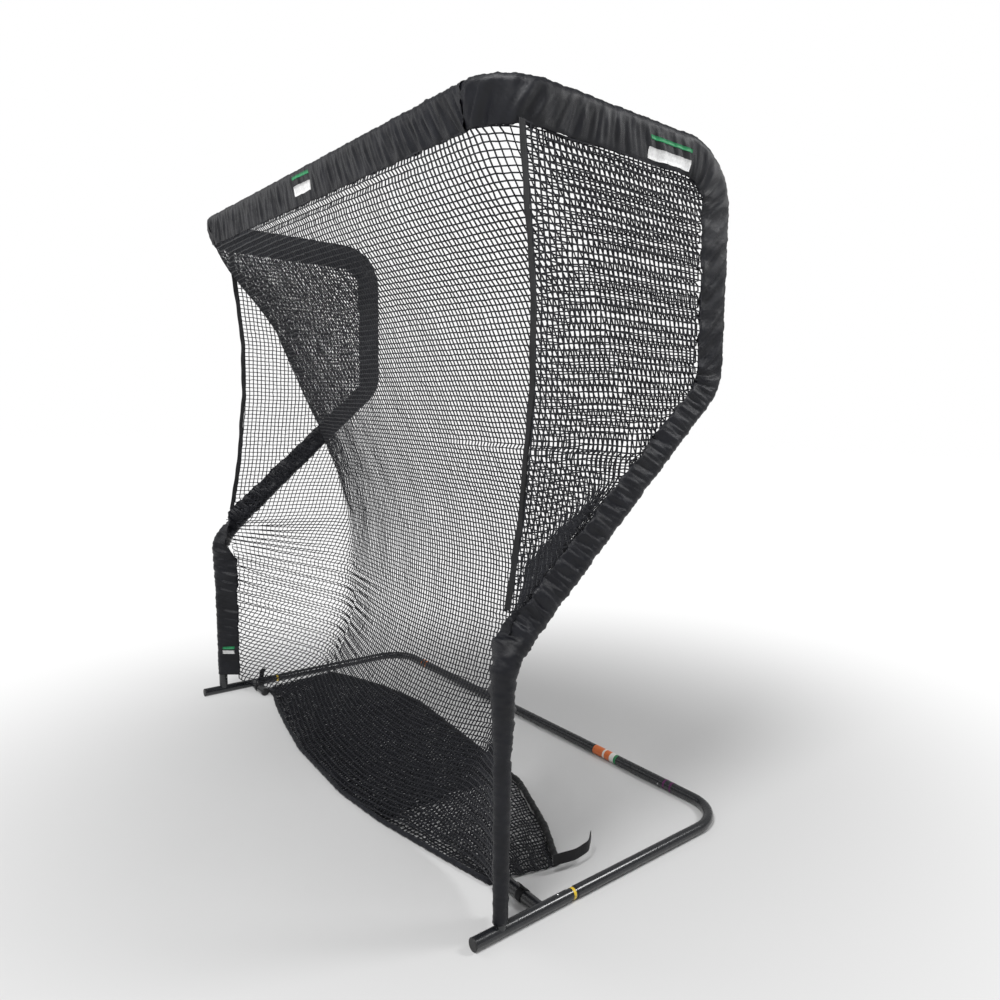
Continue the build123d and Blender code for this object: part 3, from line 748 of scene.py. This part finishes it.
def floor_roll(name, route, radius, lumps, seed, look, slot, *replaced):
    """A rolled or padded edge lying on the floor along a route."""
    points = np.array([(x, y, radius) for x, y in route])
    line, at = filleted(points, [0.25] * (len(points) - 2), RING_STEP)
    tangent = unit(np.gradient(line, axis=0))
    flat = np.cross(np.array([0, 0, 1.0]), tangent)
    rings = []
    turn = np.linspace(0, 2 * pi, 18, endpoint=False)
    lump_waves = [(2 * pi / 0.028, 1), (2 * pi / 0.05, -1), (2 * pi / 0.09, 1)]
    for k, s in enumerate(at):
        size = radius * (1 + lumps * folds(s, turn, lump_waves, seed))
        centre = line[k] + (0, 0, 0.2 * radius)
        ring = centre + (size * np.cos(turn))[:, None] * flat[k] + (size * np.sin(turn))[:, None] * (0, 0, 1)
        ring[:, 2] = np.maximum(ring[:, 2], 0.0012)
        rings.append(ring)
    return tube_piece(name, np.array(rings), look, slot, *replaced)


floor_roll("front_edge_roll_cloth", EDGE_ROUTE[:-1], 0.008, 0.22, 61, CORD, "net_cord", "front_edge_roll")
floor_roll("rear_hem_cloth", HEM_ROUTE, 0.0115, 0.16, 62, HEM, "hem_fabric", "rear_hem")


def skirt_layer(lift, offset, seed):
    """One layer of the skirt lying on the floor between the front edge and the rear hem."""
    front = resample(np.array([(x, y, 0) for x, y in EDGE_ROUTE[:-1]]), NET_CELL)[0]
    count = len(front)
    rear = resample(np.array([(x, y, 0) for x, y in HEM_ROUTE]), NET_CELL)[0]
    share = np.linspace(0, 1, count)
    rear = np.stack([np.interp(share, np.linspace(0, 1, len(rear)), rear[:, k]) for k in range(3)], -1)
    depth = np.linalg.norm(rear - front, axis=1)
    rows = int(depth.max() / NET_CELL) + 1
    points = np.zeros((count, rows, 3))
    for j in range(rows):
        points[:, j] = front + (rear - front) * (j + offset) / rows
    k, m = np.meshgrid(np.arange(count), np.arange(rows), indexing="ij")
    hump = np.sin(pi * np.clip(m / rows, 0, 1)) ** 0.5
    swell = ripple(k, m, [(0.5, 0.3), (0.21, 0.6), (0.8, -0.5)], seed)
    points[..., 2] = 0.004 + lift + hump * (0.006 + 0.006 * swell)
    points[..., :2] += 0.004 * ripple(k, m, [(0.4, 0.9), (0.9, 0.3)], seed + 1)[..., None]
    points += np.random.default_rng(seed).normal(0, 0.0011, points.shape)
    points[..., 2] = np.maximum(points[..., 2], 0.004)
    return points


for layer, (lift, offset) in enumerate(((0.0, 0.0), (0.008, 0.12))):
    points = skirt_layer(lift, offset, 70 + layer)
    here = points[..., 0] < (2.0, 0.45)[layer]
    piece = net_piece(f"floor_skirt_layer_{layer + 1}", points, here)
    finish_piece(piece, CORD, "net_cord", "floor_skirt")


def tie_strap(name, centre, axis, tail, reach, node_name):
    """A webbing strap round a peg or leg, with a tail towards the net."""
    axis, tail = np.array(axis, float), unit(np.array(tail, float))
    ref = unit(np.cross(axis, (0, 0, 1)))
    up = np.array([0, 0, 1.0])
    radius = TUBE_R + 0.0014
    turns = np.linspace(radians(-38), radians(218), 60)
    line = np.array([centre + radius * (ref * cos(a) + up * sin(a)) for a in turns])
    strip(name, line, axis + np.zeros_like(line), 0.025, 0.0018, WEBBING, "webbing", node_name)
    start = centre + up * (radius + 0.001)
    line = start + tail * np.linspace(0, reach, 20)[:, None]
    line[:, 2] += 0.004 * np.sin(np.linspace(0, 3, 20))
    strip(f"{name}_tail", line, axis + np.zeros_like(line), 0.024, 0.0018, WEBBING, "webbing")


for _, word in SIDES:
    low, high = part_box(f"{word}_peg_tie")
    centre = np.array([(low.x + high.x) / 2, middle(f"{word}_net_peg")[1], TUBE_R])
    tie_strap(f"{word}_peg_tie_strap", centre, (1, 0, 0), (0, -0.5, 0.87), 0.022, f"{word}_peg_tie")
leg_tie_y = middle("left_leg_tie")[1]
tie_strap("left_leg_tie_strap", np.array([-SIDE_X, leg_tie_y, TUBE_R]), (0, 1, 0), (0.5, 0, 0.87), 0.06,
          "left_leg_tie")

# loose hook-and-loop strap at the hem's right corner: black webbing outside, pale pile inside
STRAP_ROUTE = [(1.068, -0.165, 0.05), (1.090, -0.09, 0.052), (1.085, -0.03, 0.056), (1.050, 0.010, 0.062)]
line, _ = resample(np.array(STRAP_ROUTE), 0.004)
line = smoothed(line, np.hanning(13))
upright = np.array([0, 0.0, 1.0]) + np.zeros_like(line)
strip("hem_strap_outside", line, upright, 0.038, 0.0022, WEBBING, "webbing", "hem_strap")
side_step = unit(np.cross(np.gradient(line, axis=0), upright)) * -0.0022
strip("hem_strap_pile", line + side_step, upright, 0.034, 0.0016, LOOP, "webbing")


# ---------------------------------------------------------------- plain printed patches on the sleeves
def patch(name, rings_at, start, length, columns, look):
    """A thin printed patch that follows the sleeve's own surface between two of its columns."""
    rings, at = rings_at
    rows = (at >= start) & (at <= start + length)
    cut = rings[rows][:, columns[0]:columns[1] + 1]
    out = unit(np.cross(np.gradient(cut, axis=1), np.gradient(cut, axis=0)))
    outer, inner = cut + out * 0.0016, cut + out * 0.0004
    count, wide, _ = cut.shape
    index = np.arange(count * wide).reshape(count, wide)
    shift = count * wide
    quads = np.stack([index[:-1, :-1], index[1:, :-1], index[1:, 1:], index[:-1, 1:]], -1).reshape(-1, 4)
    faces = [*quads[:, ::-1].tolist(), *(quads + shift).tolist()]
    rim = [*index[0], *index[1:, -1], *index[-1, -2::-1], *index[-2:0:-1, 0]]
    faces += [[a, b, b + shift, a + shift] for a, b in zip(rim, rim[1:] + rim[:1])]
    piece = new_object(name, np.concatenate([outer.reshape(-1, 3), inner.reshape(-1, 3)]), faces)
    finish_piece(piece, look, "sleeve_fabric")


def patches():
    """Two plain stripes on the crossbar's front and two on the right side tube's inner face."""
    rings, at = sleeves["top"]
    place = float(np.interp(0, rings[:, 20, 0], at))
    patch("bar_patch_green", sleeves["top"], place - 0.075, 0.15, (14, 15), GREEN)
    patch("bar_patch_white", sleeves["top"], place - 0.075, 0.15, (17, 20), WHITE)
    rings, at = sleeves["right"]
    on_top = np.where(rings[:, :, 2].mean(1) > BAR_Z - 0.1)[0]
    place = float(at[on_top[np.argmin(np.abs(rings[on_top][:, 20, 1] - 0.11))]])
    patch("side_patch_green", sleeves["right"], place - 0.09, 0.18, (31, 32), GREEN)
    patch("side_patch_white", sleeves["right"], place - 0.09, 0.18, (26, 29), WHITE)
    rings, at = sleeves["left"]
    place = float(np.interp(0.227, rings[:60, 20, 2], at[:60]))
    patch("foot_patch_green", sleeves["left"], place, 0.019, (15, 21), GREEN)
    patch("foot_patch_white", sleeves["left"], place - 0.020, 0.019, (15, 21), WHITE)


patches()


# ---------------------------------------------------------------- floor, light, camera
def stage_floor():
    bpy.ops.mesh.primitive_circle_add(vertices=96, radius=30, fill_type="NGON", location=(0, 0, 0))
    floor = bpy.context.object
    floor.name = "floor"
    made, tree, shader = material("floor")
    place = node(tree, "ShaderNodeTexCoord")
    centre = node(tree, "ShaderNodeMapping")
    centre.inputs["Location"].default_value = (-0.35, -0.1, 0)
    tree.links.new(place.outputs["Object"], centre.inputs["Vector"])
    size = node(tree, "ShaderNodeVectorMath", operation="LENGTH")
    tree.links.new(centre.outputs["Vector"], size.inputs[0])
    # painted shade and light: the floor is diffuse grey near the net and fades with distance into a glowing
    # white, a painted falloff of the studio light into the white backdrop
    painted_falloff = node(tree, "ShaderNodeMapRange", interpolation_type="SMOOTHSTEP")
    painted_falloff.inputs["From Min"].default_value, painted_falloff.inputs["From Max"].default_value = 0.7, 3.0
    tree.links.new(size.outputs["Value"], painted_falloff.inputs["Value"])
    shader.inputs["Base Color"].default_value = (0.62, 0.62, 0.62, 1)
    shader.inputs["Roughness"].default_value = 0.85
    painted_glow = node(tree, "ShaderNodeEmission", Color=(1, 1, 1, 1), Strength=1.02)
    mix = node(tree, "ShaderNodeMixShader")
    tree.links.new(painted_falloff.outputs["Result"], mix.inputs["Fac"])
    tree.links.new(shader.outputs["BSDF"], mix.inputs[1])
    tree.links.new(painted_glow.outputs["Emission"], mix.inputs[2])
    tree.links.new(mix.outputs["Shader"], tree.nodes["Material Output"].inputs["Surface"])
    paint(floor, made)


def area_light(name, place, target, size, power):
    data = bpy.data.lights.new(name, "AREA")
    data.shape, data.size, data.energy = "DISK", size, power
    lamp = bpy.data.objects.new(name, data)
    lamp.location = place
    lamp.rotation_euler = (Vector(target) - Vector(place)).to_track_quat("-Z", "Y").to_euler()
    bpy.context.scene.collection.objects.link(lamp)


stage_floor()
world = bpy.data.worlds.new("studio")
bpy.context.scene.world = world
world.use_nodes = True
sky = world.node_tree.nodes["Background"]
sky.inputs["Color"].default_value = (1, 1, 1, 1)
seen = node(world.node_tree, "ShaderNodeLightPath")
strength = spread(world.node_tree, seen.outputs["Is Camera Ray"], 0.34, 1.0)
world.node_tree.links.new(strength, sky.inputs["Strength"])
area_light("key", (2.0, -2.5, 4.8), (0, 0, 1.0), 1.6, 200)
area_light("fill", (-3.0, -2.5, 3.0), (0, 0, 1.0), 3.0, 25)
area_light("rim", (3.0, 2.5, 3.5), (0.5, 0, 1.4), 1.2, 70)
bpy.context.scene.view_settings.view_transform = "Standard"

CAMERA_PLACE = (2.84493, -1.64, 1.45834)
CAMERA_TURN, CAMERA_DOWN, CAMERA_ROLL = radians(-47.7655), radians(6.4383), radians(1.4841)
ahead = Vector((sin(CAMERA_TURN) * cos(CAMERA_DOWN), cos(CAMERA_TURN) * cos(CAMERA_DOWN), -sin(CAMERA_DOWN)))
level = ahead.cross(Vector((0, 0, 1))).normalized()
upward = level.cross(ahead)
right = level * cos(CAMERA_ROLL) + upward * sin(CAMERA_ROLL)
upward = upward * cos(CAMERA_ROLL) - level * sin(CAMERA_ROLL)
camera = bpy.data.objects.new("camera", bpy.data.cameras.new("camera"))
camera.matrix_world = Matrix.Translation(CAMERA_PLACE) @ Matrix((right, upward, -ahead)).transposed().to_4x4()
camera.data.lens, camera.data.sensor_width = 28.06, 36
camera.data.shift_x, camera.data.shift_y = -0.095, -0.0014
bpy.context.scene.collection.objects.link(camera)
bpy.context.scene.camera = camera
